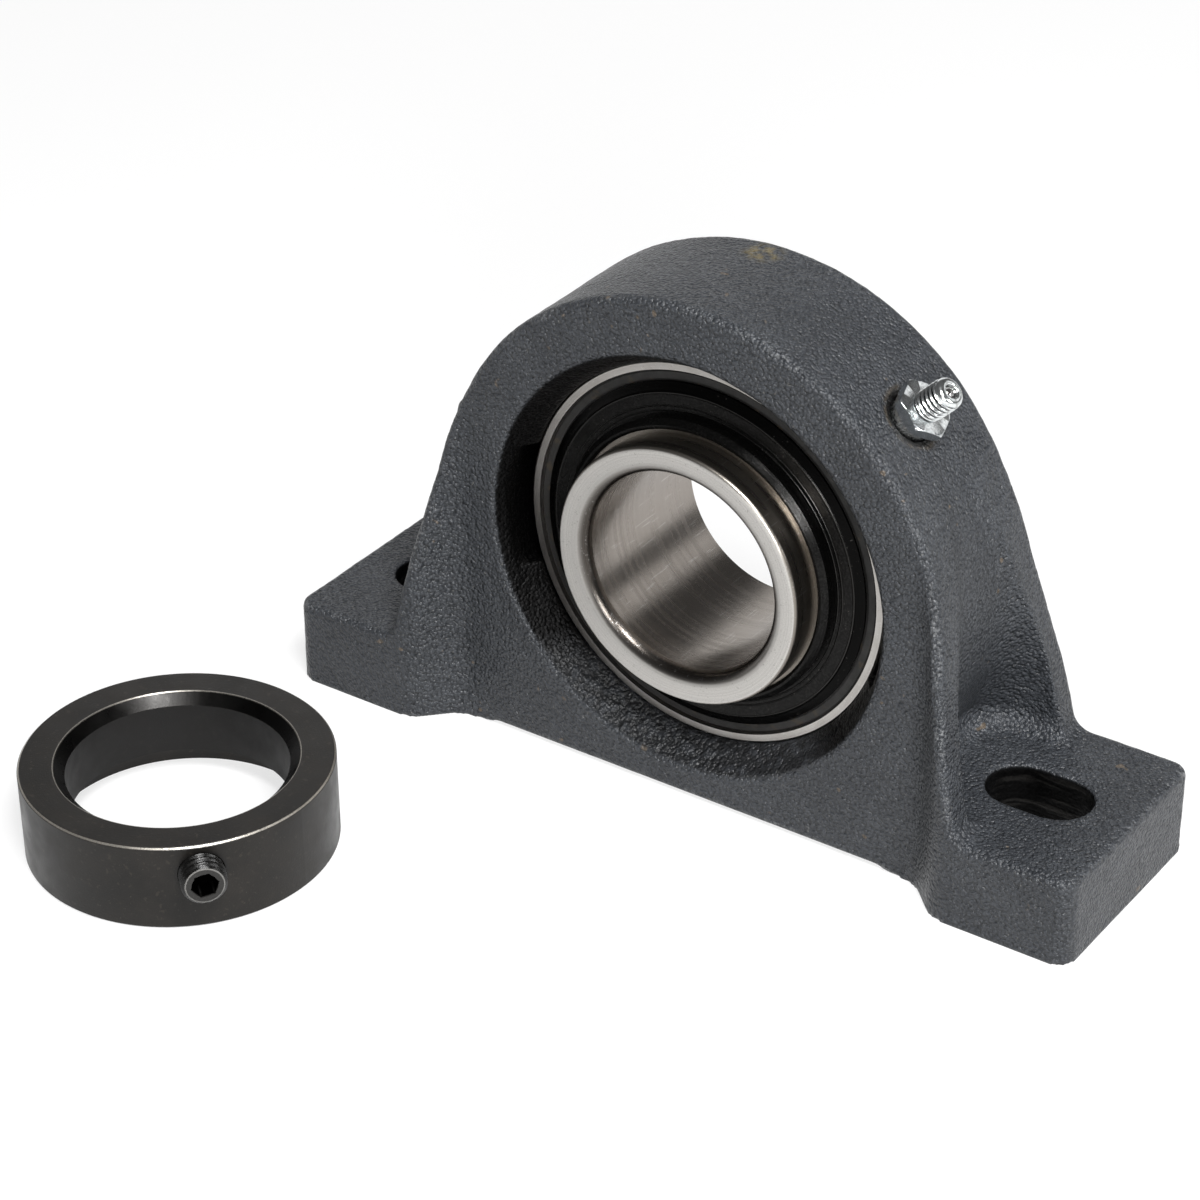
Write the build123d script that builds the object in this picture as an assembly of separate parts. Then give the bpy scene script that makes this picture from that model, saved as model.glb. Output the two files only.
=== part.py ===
from build123d import *
import os
from math import acos, atan2, cos, degrees, pi, radians, sin, sqrt, tan

# Pillow block bearing with a self-aligning ball insert and a loose eccentric locking collar.
# Millimetres. X runs along the base, Y along the shaft with the collar end at -Y, Z is up.
# The origin is on the base plane, under the middle of the shaft bore.

# Cast housing
base_length = 190.5
base_width = 51.7
axis_height = 54.0
foot_height = 19.5
foot_corner_radius = 4.0
arch_radius = 59.3
arch_width = 34.7
cast_edge_radius = 1.6
mouth_edge_radius = 0.8
leg_radius = 69.4
leg_foot_half_span = 69.3
leg_top_angle = 38.0
leg_foot_radius = 4.0
flare_start = 56.2
flare_angle = 45.0
flare_radius = 8.0
rib_foot_width = 6.4
pocket_taper = 5.0
pocket_corner_radius = 11.0
pocket_corner_limit = 0.92
pocket_foot_radius = 4.0
pocket_floor_depth = 0.6
pocket_fade_angle = 50.0
pocket_top_angle = 55.0
relief_half_length = 47.0
relief_depth = 1.0
relief_run = 3.0
bolt_spacing = 148.4
slot_length = 22.6
slot_width = 14.6
mouth_radius = 46.9
seat_half_width = 10.2
seat_clearance = 0.08
notch_half_height = 14.0
notch_depth = 1.4
grease_groove_width = 8.0
grease_groove_depth = 1.2

# Bearing insert
sphere_radius = 43.6
ring_width = 18.8
ring_edge_chamfer = 0.4
ball_diameter = 12.7
ball_count = 9
pitch_radius = 33.0
groove_conformity = 0.52
ball_clearance = 0.04
outer_land_radius = 37.2
seal_seat_radius = 40.7
seal_seat_depth = 1.9
inner_land_radius = 29.4
bore_radius = 22.225
inner_front_reach = 19.6
inner_rear_reach = 20.6
bore_front_radius = 2.8
bore_rear_chamfer = 1.0
cam_radius = 28.7
cam_eccentricity = 0.5
cam_direction = 240.0
cam_length = 7.2
cam_edge_radius = 1.1
rear_edge_radius = 1.0
lube_hole_offset = -5.9
lube_hole_radius = 0.9

# Ribbon cage
cage_inner_radius = 31.2
cage_outer_radius = 34.8
cage_thickness = 0.8
pocket_clearance = 0.12
rivet_radius = 0.9
rivet_head_radius = 1.6
rivet_head_height = 0.5

# Seals and flingers
seal_thickness = 1.3
seal_rim_gap = 0.6
seal_rim_width = 1.5
seal_recess_depth = 0.5
lip_clearance = 0.1
flinger_face = 10.3
flinger_thickness = 0.9
flinger_flat_radius = 35.9
flinger_outer_radius = 38.2
flinger_rim_drop = 0.9
hub_front = 13.6
hub_outer_radius = 31.6
hub_edge_radius = 1.1
hub_mouth_chamfer = 0.6

# Grease fitting
fitting_angle = 44.0
fitting_offset = -1.6
spot_face_radius = 7.3
spot_face_depth = 0.6
fitting_standoff = 1.5
hex_across_flats = 11.1
hex_height = 3.0
hex_edge_bevel = 0.7
hex_turn = 50.0
neck_radius = 3.35
neck_length = 7.5
neck_groove_depth = 0.4
neck_groove_count = 6
tip_radius = 2.75
shank_radius = 4.85
shank_length = 8.0
thread_clearance = 0.05
grease_passage_radius = 1.6
check_ball_radius = 1.6
check_ball_clearance = 0.1
inlet_radius = 1.4
inlet_depth = 0.9
feed_radius = 1.0
spring_wire_radius = 0.2
spring_turns = 5

# Locking collar
collar_x = -76.4
collar_y = -86.9
collar_radius = 32.3
collar_height = 19.3
collar_bore_clearance = 0.6
collar_bore_chamfer = 2.3
collar_edge_chamfer = 0.5
collar_recess_depth = 6.1
collar_recess_clearance = 0.15
screw_angle = -41.5
screw_height = 12.8
screw_radius = 4.7
screw_clearance = 0.08
screw_length = 9.5
screw_protrusion = 4.4
screw_chamfer = 0.6
screw_cup_radius = 2.2
screw_cup_depth = 1.0
socket_across_flats = 4.76
socket_turn = 11.0
socket_depth = 4.2

# Derived sizes
ball_radius = ball_diameter / 2
groove_radius = groove_conformity * ball_diameter
groove_offset = groove_radius - ball_radius - ball_clearance
half_length = base_length / 2
half_width = base_width / 2
arch_half_width = arch_width / 2
ring_half_width = ring_width / 2
bore_centre = Pos(0, 0, axis_height)
fitting_seat_radius = arch_radius - spot_face_depth
fitting_frame = (
    Pos(0, fitting_offset, axis_height) * Rot(0, 90 - fitting_angle, 0) * Pos(0, 0, fitting_seat_radius)
)
collar_frame = Pos(collar_x, collar_y, 0)


def turned(points, front=True):
    """Revolve (radius, distance ahead of the ball plane) points about the shaft axis."""
    side = -1 if front else 1
    section = [(radius, side * ahead) for radius, ahead in points]
    return turned_outline([Polyline(*section, close=True)])


def turned_outline(edges):
    """Revolve a closed (radius, Y) outline about the shaft axis."""
    return bore_centre * revolve(make_face(edges), Axis.Y, 360)


def along_shaft(radius, y_from, y_to):
    """A cylinder about the shaft axis between two Y stations."""
    middle = (y_from + y_to) / 2
    return bore_centre * Pos(0, middle, 0) * Rot(90, 0, 0) * Cylinder(radius, abs(y_to - y_from))


def front_outline():
    """Front view of the casting: arch, flared legs and feet as one face on the XZ plane."""
    top_angle = radians(leg_top_angle)
    inwards = leg_radius - arch_radius
    arc_centre = Vector(-inwards * cos(top_angle), axis_height - inwards * sin(top_angle))
    leg_foot = Vector(leg_foot_half_span, foot_height)
    to_foot = leg_foot - arc_centre
    tangent_angle = degrees(acos(leg_radius / to_foot.length) + atan2(to_foot.Y, to_foot.X))
    leg_arc = CenterArc(arc_centre, leg_radius, tangent_angle, leg_top_angle - tangent_angle)
    leg_line = Line(leg_foot, leg_arc @ 0)
    foot_end = [(half_length, foot_height), (half_length, 0)]
    lower = Polyline(leg_foot, *foot_end, (0, 0), (0, axis_height), leg_arc @ 1)
    half = make_face(Curve() + [leg_line, leg_arc, lower])
    foot_corner = half.vertices().sort_by_distance(leg_foot)[0]
    half = fillet(foot_corner, leg_foot_radius)
    return half + mirror(half, Plane.YZ) + Pos(0, axis_height) * Circle(arch_radius)


def plan_outline():
    """Plan view of the casting: a narrow waist under the arch that flares to the wide feet."""
    flare_run = (half_width - arch_half_width) / sin(radians(flare_angle)) * cos(radians(flare_angle))
    flare_end = flare_start + flare_run
    corners = [
        (flare_start, arch_half_width),
        (flare_end, half_width),
        (half_length, half_width),
        (half_length, -half_width),
        (flare_end, -half_width),
        (flare_start, -arch_half_width),
    ]
    mirrored = [(-x, y) for x, y in reversed(corners)]
    outline = make_face(Polyline(*corners, *mirrored, close=True))
    end_corners = outline.vertices().filter_by(lambda v: abs(v.X) > flare_end + 1)
    outline = fillet(end_corners, foot_corner_radius)
    flare_corners = outline.vertices().filter_by(lambda v: abs(v.X) < flare_end + 1)
    return fillet(flare_corners, flare_radius)


def side_pocket():
    """The space between the front and rear ribs of one leg, outside the arch band."""
    foot_half = half_width - rib_foot_width
    top = axis_height + arch_radius * sin(radians(pocket_top_angle))
    top_half = foot_half - (top - foot_height) * tan(radians(pocket_taper))
    outline = [(-foot_half, foot_height), (foot_half, foot_height), (top_half, top), (-top_half, top)]
    section = make_face(Plane.YZ * Polyline(*outline, close=True))
    reach = half_length + foot_corner_radius
    fade = cos(radians(pocket_fade_angle))
    shift = pocket_floor_depth / (1 - fade)
    band = Pos(-shift, 0, 0) * along_shaft(arch_radius + shift * fade, -base_width, base_width)
    pocket = (extrude(section, amount=reach, dir=(1, 0, 0)) - band).solids().sort_by(Axis.X)[-1]
    arch_face = pocket.faces().filter_by(GeomType.CYLINDER)[0]
    corners = arch_face.edges().filter_by(lambda e: e.bounding_box().size.Z > foot_height)
    pocket = fillet(corners, min(pocket_corner_radius, pocket_corner_limit * top_half))
    floor = pocket.faces().sort_by(Axis.Z)[0]
    floor_edges = floor.edges().filter_by(lambda e: e.bounding_box().min.X < reach - foot_corner_radius)
    return fillet(floor_edges, pocket_foot_radius)


def underside_relief():
    """A shallow raised stretch under the waist, so that the block stands on its two feet."""
    section = make_face(
        Plane.XZ * Polyline(
            (-relief_half_length - relief_run, 0),
            (relief_half_length + relief_run, 0),
            (relief_half_length, relief_depth),
            (-relief_half_length, relief_depth),
            close=True,
        )
    )
    return extrude(section, amount=base_width, both=True)


def bearing_cavity():
    """Spherical seat with a tapered mouth on each side, as one turned form."""
    seat_radius = sphere_radius + seat_clearance
    throat = sqrt(seat_radius**2 - seat_half_width**2)
    overshoot = arch_half_width + 1
    seat = ThreePointArc((throat, -seat_half_width), (seat_radius, 0), (throat, seat_half_width))
    rear_mouth = Polyline(
        (throat, seat_half_width),
        (mouth_radius, arch_half_width),
        (mouth_radius, overshoot),
        (0, overshoot),
    )
    front_mouth = mirror(rear_mouth, Plane.XZ)
    axis_line = Line((0, overshoot), (0, -overshoot))
    return turned_outline([front_mouth, seat, rear_mouth, axis_line])


def loading_notches():
    """Recesses left and right in the front of the seat, through which the insert is put in."""
    notch_radius = sphere_radius + seat_clearance + notch_depth
    height = Pos(0, 0, axis_height) * Box(base_length, base_width, 2 * notch_half_height)
    return along_shaft(notch_radius, -arch_half_width - 1, 0) & height


def grease_groove():
    """Groove round the seat that joins the fitting's passage to the hole in the outer ring."""
    middle = (fitting_offset + lube_hole_offset) / 2
    half = grease_groove_width / 2
    floor_radius = sphere_radius + seat_clearance + grease_groove_depth
    return along_shaft(floor_radius, middle - half, middle + half)


def fitting_hole():
    """Spot face, threaded hole and passage for the grease fitting, down to the seat."""
    wall = fitting_seat_radius - sphere_radius
    above = Pos(0, 0, spot_face_depth + 1)
    spot = above * Cylinder(
        spot_face_radius, spot_face_depth + 1, align=(Align.CENTER, Align.CENTER, Align.MAX)
    )
    thread = Cylinder(
        shank_radius + thread_clearance, shank_length + 1, align=(Align.CENTER, Align.CENTER, Align.MAX)
    )
    passage = Cylinder(grease_passage_radius, wall, align=(Align.CENTER, Align.CENTER, Align.MAX))
    return fitting_frame * (spot + thread + passage)


def casting_blank():
    """The casting without its openings, its edges rounded from foot to foot over the arch."""
    front = extrude(Plane.XZ * front_outline(), amount=half_width, both=True)
    plan = extrude(plan_outline(), amount=axis_height + arch_radius)
    blank = front & plan
    above_foot = blank.edges().filter_by(lambda e: e.bounding_box().min.Z > foot_height - 0.1)
    crosswise = above_foot.filter_by(Axis.Y).filter_by(lambda e: abs(e.center().X) < half_length - 0.1)
    return fillet([e for e in above_foot if e not in crosswise], cast_edge_radius)


def bolt_slots():
    """The slot through each foot."""
    slot = extrude(SlotOverall(slot_length, slot_width), amount=foot_height)
    return [Pos(side * bolt_spacing / 2, 0, 0) * slot for side in (-1, 1)]


def housing():
    """The cast housing."""
    body = casting_blank()
    pocket = side_pocket()
    body = body - pocket - mirror(pocket, Plane.YZ) - underside_relief() - bolt_slots() - bearing_cavity()
    circles = body.edges().filter_by(GeomType.CIRCLE)
    mouth_rims = circles.filter_by(lambda e: abs(e.radius - mouth_radius) < 0.01)
    body = fillet(mouth_rims, mouth_edge_radius)
    return body - loading_notches() - grease_groove() - fitting_hole()


def ball_track(land_radius, centre_radius):
    """Section arc of a ball groove between the edges of its land, from -Y to +Y."""
    half = sqrt(groove_radius**2 - (land_radius - centre_radius) ** 2)
    bottom = centre_radius + (groove_radius if land_radius > centre_radius else -groove_radius)
    return ThreePointArc((land_radius, -half), (bottom, 0), (land_radius, half))


def outer_ring():
    """Outer ring with a spherical outside, a deep ball groove and two seal seats."""
    rim = ring_half_width - ring_edge_chamfer
    rim_radius = sqrt(sphere_radius**2 - rim**2)
    face_radius = sqrt(sphere_radius**2 - ring_half_width**2) - ring_edge_chamfer
    seat_end = ring_half_width - seal_seat_depth
    track = ball_track(outer_land_radius, pitch_radius - groove_offset)
    outside = ThreePointArc((rim_radius, -rim), (sphere_radius, 0), (rim_radius, rim))
    rear = Polyline(
        (rim_radius, rim),
        (face_radius, ring_half_width),
        (seal_seat_radius, ring_half_width),
        (seal_seat_radius, seat_end),
        (outer_land_radius, seat_end),
        track @ 1,
    )
    front = mirror(rear, Plane.XZ)
    ring = turned_outline([outside, rear, track, front])
    hole = Rot(0, 90 - fitting_angle, 0) * Cylinder(
        lube_hole_radius, sphere_radius, align=(Align.CENTER, Align.CENTER, Align.MIN)
    )
    return ring - Pos(0, lube_hole_offset, axis_height) * hole


def inner_ring():
    """Wide inner ring with a ball groove and an eccentric cam at the collar end."""
    cam_start = inner_front_reach - cam_length
    track = ball_track(inner_land_radius, pitch_radius + groove_offset)
    rear_corner = inner_land_radius - rear_edge_radius
    rounding = ThreePointArc(
        (inner_land_radius, inner_rear_reach - rear_edge_radius),
        (
            rear_corner + rear_edge_radius * sin(pi / 4),
            inner_rear_reach - rear_edge_radius + rear_edge_radius * sin(pi / 4),
        ),
        (rear_corner, inner_rear_reach),
    )
    bore = Polyline(
        (rear_corner, inner_rear_reach),
        (bore_radius + bore_rear_chamfer, inner_rear_reach),
        (bore_radius, inner_rear_reach - bore_rear_chamfer),
        (bore_radius, -cam_start),
        (inner_land_radius, -cam_start),
        track @ 0,
    )
    body = turned_outline([bore, track, Line(track @ 1, rounding @ 0), rounding])
    direction = radians(cam_direction)
    cam_shift = Pos(cam_eccentricity * cos(direction), 0, cam_eccentricity * sin(direction))
    cam = cam_shift * along_shaft(cam_radius, -inner_front_reach, -cam_start)
    cam_rim = cam.edges().filter_by(GeomType.CIRCLE).sort_by(Axis.Y)[0]
    cam = fillet(cam_rim, cam_edge_radius) - along_shaft(bore_radius, -inner_front_reach, -cam_start)
    circles = cam.edges().filter_by(GeomType.CIRCLE)
    bore_rims = circles.filter_by(lambda e: abs(e.radius - bore_radius) < 0.01)
    return body + fillet(bore_rims.sort_by(Axis.Y)[0], bore_front_radius)


def pitch_places(first_share):
    """Frames evenly spaced on the pitch circle with Z along the shaft, from a share of one step."""
    for index in range(ball_count):
        angle = 2 * pi * (index + first_share) / ball_count
        yield Pos(pitch_radius * cos(angle), 0, axis_height + pitch_radius * sin(angle)) * Rot(90, 0, 0)


def balls():
    """The balls, one solid each."""
    return [place * Sphere(ball_radius) for place in pitch_places(0)]


def cage_half(side):
    """One half of the ribbon cage: flat lands between spherical pockets."""
    pocket_radius = ball_radius + pocket_clearance
    shell_radius = pocket_radius + cage_thickness
    lands = along_shaft(cage_outer_radius, 0, side * cage_thickness)
    ribbon = along_shaft(cage_outer_radius, 0, side * shell_radius)
    bore = along_shaft(cage_inner_radius, 0, side * shell_radius)
    shells = [ribbon & place * Sphere(shell_radius) for place in pitch_places(0)]
    pockets = [place * Sphere(pocket_radius) for place in pitch_places(0)]
    rivet_holes = [place * Cylinder(rivet_radius, 4 * cage_thickness) for place in pitch_places(0.5)]
    return lands + shells - bore - pockets - rivet_holes


def cage_rivets():
    """Headed rivets that hold the two cage halves together, halfway between the balls."""
    rivets = []
    for place in pitch_places(0.5):
        rivet = Cylinder(rivet_radius, 2 * cage_thickness)
        for side in (-1, 1):
            head_middle = side * (cage_thickness + rivet_head_height / 2)
            rivet += Pos(0, 0, head_middle) * Cylinder(rivet_head_radius, rivet_head_height)
        rivets.append(place * rivet)
    return Compound(children=rivets)


def seal(front):
    """Rubber seal pressed into the outer ring, with a lip that runs on the inner ring."""
    back = ring_half_width - seal_seat_depth
    face = back + seal_thickness
    rim_outer = seal_seat_radius - seal_rim_gap
    rim_inner = rim_outer - seal_rim_width
    lip_radius = inner_land_radius + lip_clearance
    recess = face - seal_recess_depth
    profile = [
        (seal_seat_radius, back),
        (seal_seat_radius, face - seal_rim_gap),
        (rim_outer, face - seal_rim_gap / 2),
        (rim_outer, face),
        (rim_inner, face),
        (rim_inner, recess),
        (lip_radius + seal_recess_depth, recess),
        (lip_radius, back + seal_recess_depth),
        (lip_radius, back),
    ]
    return turned(profile, front)


def flinger(front):
    """Pressed flinger on the inner ring: hub, flat face and a rim that is bent back."""
    back = flinger_face - flinger_thickness
    profile = [
        (inner_land_radius, back),
        (inner_land_radius, hub_front - hub_mouth_chamfer),
        (inner_land_radius + hub_mouth_chamfer, hub_front),
        (hub_outer_radius - hub_edge_radius, hub_front),
        (hub_outer_radius, hub_front - hub_edge_radius),
        (hub_outer_radius, flinger_face),
        (flinger_flat_radius, flinger_face),
        (flinger_outer_radius, flinger_face - flinger_rim_drop),
        (flinger_outer_radius, back - flinger_rim_drop + flinger_thickness / 2),
        (flinger_flat_radius, back),
    ]
    return turned(profile, front)


def grease_fitting_body():
    """Threaded shank, hexagon clear of the spot face, and grooved neck with a ball seat in its tip."""
    bottom = (Align.CENTER, Align.CENTER, Align.MIN)
    top = (Align.CENTER, Align.CENTER, Align.MAX)
    shank = Pos(0, 0, fitting_standoff) * Cylinder(shank_radius, shank_length + fitting_standoff, align=top)
    stock = Cylinder(hex_across_flats / sqrt(3), hex_height, align=bottom)
    stock = chamfer(stock.edges().filter_by(GeomType.CIRCLE), hex_edge_bevel)
    hexagon = extrude(RegularPolygon(hex_across_flats / 2, 6, major_radius=False), amount=hex_height)
    hexagon = Pos(0, 0, fitting_standoff) * Rot(0, 0, hex_turn) * (hexagon & stock)
    neck_bottom = fitting_standoff + hex_height
    neck = Pos(0, 0, neck_bottom) * Cylinder(neck_radius, neck_length, align=bottom)
    tip_edge = neck.edges().filter_by(GeomType.CIRCLE).sort_by(Axis.Z)[-1]
    neck = chamfer(tip_edge, neck_radius - tip_radius)
    groove_pitch = (neck_length - neck_radius + tip_radius) / (neck_groove_count + 0.5)
    for index in range(neck_groove_count):
        groove_place = Pos(0, 0, neck_bottom + groove_pitch * (index + 0.7))
        neck -= groove_place * Torus(neck_radius + neck_groove_depth / 2, neck_groove_depth)
    body = shank + hexagon + neck
    ball_height = check_ball_height()
    chamber_radius = check_ball_radius + check_ball_clearance
    chamber = Pos(0, 0, ball_height) * Sphere(chamber_radius)
    bore = Pos(0, 0, ball_height) * Cylinder(chamber_radius, ball_height + spring_wire_radius, align=top)
    feed = Cylinder(feed_radius, shank_length + 1, align=top)
    inlet = Pos(0, 0, ball_height) * Cylinder(inlet_radius, neck_bottom + neck_length, align=bottom)
    return fitting_frame * (body - chamber - bore - feed - inlet)


def check_ball_height():
    """Height of the check ball's centre above the spot face."""
    chamber_radius = check_ball_radius + check_ball_clearance
    seat_depth = sqrt(chamber_radius**2 - inlet_radius**2)
    return fitting_standoff + hex_height + neck_length - inlet_depth - seat_depth


def grease_fitting_ball():
    """Check ball that closes the tip of the fitting."""
    return fitting_frame * Pos(0, 0, check_ball_height()) * Sphere(check_ball_radius)


def grease_fitting_spring():
    """Compression spring between the check ball and the shoulder in the fitting."""
    coil_radius = check_ball_radius - 2 * spring_wire_radius
    wire_start = sqrt((check_ball_radius + spring_wire_radius) ** 2 - coil_radius**2)
    length = check_ball_height() - wire_start
    path = Helix(length / spring_turns, length, coil_radius)
    wire = sweep(Plane(path @ 0, z_dir=path % 0) * Circle(spring_wire_radius), path=path)
    return fitting_frame * wire


def locking_collar():
    """Collar with a plain bore above, an eccentric recess below and a radial screw hole."""
    bore = bore_radius + collar_bore_clearance
    bottom = (Align.CENTER, Align.CENTER, Align.MIN)
    blank = Cylinder(collar_radius, collar_height, align=bottom)
    outer_rims = blank.edges().filter_by(GeomType.CIRCLE)
    blank = chamfer(outer_rims, collar_edge_chamfer)
    blank -= Cylinder(bore, collar_height, align=bottom)
    inner_rims = blank.edges().filter_by(GeomType.CIRCLE).filter_by(lambda e: abs(e.radius - bore) < 0.01)
    blank = chamfer(inner_rims.sort_by(Axis.Z)[-1], collar_bore_chamfer)
    recess = Cylinder(cam_radius + collar_recess_clearance, collar_recess_depth, align=bottom)
    blank -= Pos(cam_eccentricity, 0, 0) * recess
    hole = Cylinder(screw_radius + screw_clearance, collar_radius + 1, align=bottom)
    blank -= Rot(0, 0, screw_angle) * Pos(0, 0, screw_height) * Rot(0, 90, 0) * hole
    return collar_frame * blank


def set_screw():
    """Cup-point set screw with a hexagon socket, backed out so that it stands proud of the collar."""
    top = (Align.CENTER, Align.CENTER, Align.MAX)
    screw = Cylinder(screw_radius, screw_length, align=top)
    screw = chamfer(screw.edges().filter_by(GeomType.CIRCLE), screw_chamfer)
    socket = extrude(RegularPolygon(socket_across_flats / 2, 6, major_radius=False), amount=-socket_depth)
    screw -= Rot(0, 0, socket_turn) * socket
    cup = Cone(screw_cup_radius, 0, screw_cup_depth, align=(Align.CENTER, Align.CENTER, Align.MIN))
    screw -= Pos(0, 0, -screw_length) * cup
    place = Rot(0, 0, screw_angle) * Pos(collar_radius + screw_protrusion, 0, screw_height) * Rot(0, 90, 0)
    return collar_frame * place * screw


def save(name, shape):
    """Write one named piece."""
    export_step(shape, f"parts/{name}.step")


os.makedirs("parts", exist_ok=True)
save("housing", housing())
save("outer_ring", outer_ring())
save("inner_ring", inner_ring())
for number, ball in enumerate(balls(), start=1):
    save(f"ball_{number}", ball)
save("cage_front", cage_half(-1))
save("cage_rear", cage_half(1))
save("cage_rivets", cage_rivets())
save("front_seal", seal(front=True))
save("rear_seal", seal(front=False))
save("front_flinger", flinger(front=True))
save("rear_flinger", flinger(front=False))
save("grease_fitting_body", grease_fitting_body())
save("grease_fitting_ball", grease_fitting_ball())
save("grease_fitting_spring", grease_fitting_spring())
save("locking_collar", locking_collar())
save("set_screw", set_screw())
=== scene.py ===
import math

import bmesh
import bpy
import numpy as np
from mathutils import Matrix, Vector, noise


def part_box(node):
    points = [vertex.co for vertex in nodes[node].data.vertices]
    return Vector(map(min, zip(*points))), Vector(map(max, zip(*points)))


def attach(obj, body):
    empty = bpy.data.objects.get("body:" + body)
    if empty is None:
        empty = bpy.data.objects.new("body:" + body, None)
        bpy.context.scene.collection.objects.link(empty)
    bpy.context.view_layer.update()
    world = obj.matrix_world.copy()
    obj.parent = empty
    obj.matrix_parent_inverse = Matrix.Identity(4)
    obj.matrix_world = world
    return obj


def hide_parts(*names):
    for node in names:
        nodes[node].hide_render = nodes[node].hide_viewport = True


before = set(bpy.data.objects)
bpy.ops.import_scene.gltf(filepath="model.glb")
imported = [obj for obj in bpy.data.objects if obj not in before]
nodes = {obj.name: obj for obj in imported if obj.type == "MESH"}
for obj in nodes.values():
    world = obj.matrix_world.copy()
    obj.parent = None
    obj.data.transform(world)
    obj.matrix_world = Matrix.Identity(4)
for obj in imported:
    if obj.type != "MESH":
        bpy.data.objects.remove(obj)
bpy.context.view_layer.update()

# Metres. X runs along the base, Y along the shaft with the collar end at -Y, Z is up.
MM = 0.001
ALONG_Y = 1
ALONG_Z = 2
ring_low, ring_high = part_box("inner_ring")
AXIS_HEIGHT = (ring_low.z + ring_high.z) / 2
SHAFT = Vector((0, 0, AXIS_HEIGHT))

# Cast housing
WELD_DISTANCE = 0.002 * MM
VOXEL = 0.56 * MM
EDGE_ROUNDING_STEPS = 3
EDGE_SPREADING_STEPS = 6
SEAT_KEEP_RADIUS = 46.0 * MM
SEAT_KEEP_HALF_WIDTH = 13.0 * MM
MOUTH_RADIUS = 46.9 * MM
MOUTH_RIM_REACH = 2.0 * MM
MOUTH_RIM_DEPTH = 2.5 * MM
ARCH_HALF_WIDTH = 17.35 * MM
BASE_KEEP_HEIGHT = 1.2 * MM
CONVEX_EDGE_LIFT = 0.035 * MM
SLOT_CENTRE = 74.2 * MM
SLOT_HALF_SPAN = 4.0 * MM
SLOT_RADIUS = 7.3 * MM
SLOT_RIM_REACH = 1.6 * MM
FOOT_HEIGHT = 19.5 * MM
FOOT_FROM = 60 * MM
FOOT_BLEND = 4 * MM
# The painted shade inside the slots and the mouth: its reach into the wall, and its depth below the rim
SLOT_INSIDE_REACH = 0.35 * MM
SLOT_INSIDE_DEPTH = 0.5 * MM
MOUTH_INSIDE_REACH = 0.25 * MM
MOUTH_INSIDE_DEPTH = 0.45 * MM
# How much of its movement each stretch of the skin makes
SEAT_FREEDOM = 0.06
MOUTH_FREEDOM = 0.35
BASE_FREEDOM = 0.25
SLOT_FREEDOM = 0.35
SKIN_FREEDOM = 1.0
# Height and size of the casting's unevenness, from its grain to its wave
CAST_WAVE = 0.16 * MM
CAST_SKIN = [
    (0.035 * MM, 1.3 * MM),
    (0.06 * MM, 2.4 * MM),
    (0.07 * MM, 6.5 * MM),
    (CAST_WAVE, 17 * MM),
]
# Casting marks in millimetres: place, reach and height
BLEMISHES = [
    ((-57.2, -16.6, 75.8), 2.6, 0.75),
    ((50.2, 13.0, 84.0), 4.5, 0.35),
    ((54.6, 11.0, 76.0), 3.5, -0.45),
    ((56.0, 13.5, 70.0), 4.0, 0.40),
    ((-30.0, -4.0, 105.0), 7.0, 0.20),
    ((22.0, 6.0, 109.0), 6.0, -0.22),
]
SMUDGE_PLACE = Vector((-0.3, 11.7, 113.0)) * MM

# Grease fitting: its place on the housing
FITTING_TURN = math.radians(46.0)
FITTING_REACH = 58.7 * MM
FITTING_ASIDE = -1.6 * MM
FITTING_AXIS = Vector((math.sin(FITTING_TURN), 0, math.cos(FITTING_TURN)))
FITTING_FOOT = SHAFT + FITTING_AXIS * FITTING_REACH + Vector((0, FITTING_ASIDE, 0))
FITTING_FRAME = Matrix.Translation(FITTING_FOOT) @ Matrix.Rotation(FITTING_TURN, 4, "Y")
# Its heights and radii, in millimetres along and across its own axis
SHANK_END = -7.9
SHANK_RADIUS = 4.8
HEAD_LOW = 2.2
HEAD_TOP = 4.5
HEAD_BEVEL = 0.5
HEAD_HALF_FLAT = 5.55
HEAD_CORNER_TURN = math.radians(50)
NECK_THREAD_FROM = 5.0
NECK_THREAD_TO = 10.8
NECK_PITCH = 1.12
NECK_CREST = 3.38
NECK_ROOT = 2.66
NECK_BLANK = 3.2
NOSE_ROUND = 1.18
TIP_HEIGHT = 12.0
TIP_RADIUS = 2.05
BALL_HEIGHT = 10.136
FEED_RADIUS = 1.71
FEED_DRILLING = 1.0

# Set screw: its place in the collar
COLLAR_X = -76.4 * MM
COLLAR_Y = -86.9 * MM
SCREW_HEIGHT = 12.8 * MM
SCREW_TURN = math.radians(-41.5)
SCREW_REACH = 36.7 * MM
SCREW_HOLE_REACH = 32.3 * MM
SCREW_FRAME = (
    Matrix.Translation((COLLAR_X, COLLAR_Y, 0))
    @ Matrix.Rotation(SCREW_TURN, 4, "Z")
    @ Matrix.Translation((SCREW_REACH, 0, SCREW_HEIGHT))
    @ Matrix.Rotation(math.radians(90), 4, "Y")
)
# Its heights and radii, in millimetres along and across its own axis, with the socket's end at zero
SCREW_LENGTH = 9.5
SCREW_PITCH = 1.5875
SCREW_CREST = 4.70
SCREW_ROOT = 4.02
SOCKET_HALF_FLAT = 2.5
SOCKET_CORNER_TURN = math.radians(41)

# Turned pieces: points round the axis, and the angle from which an edge is sharp
AROUND = 144
SHARP_ANGLE = math.radians(32)

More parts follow.
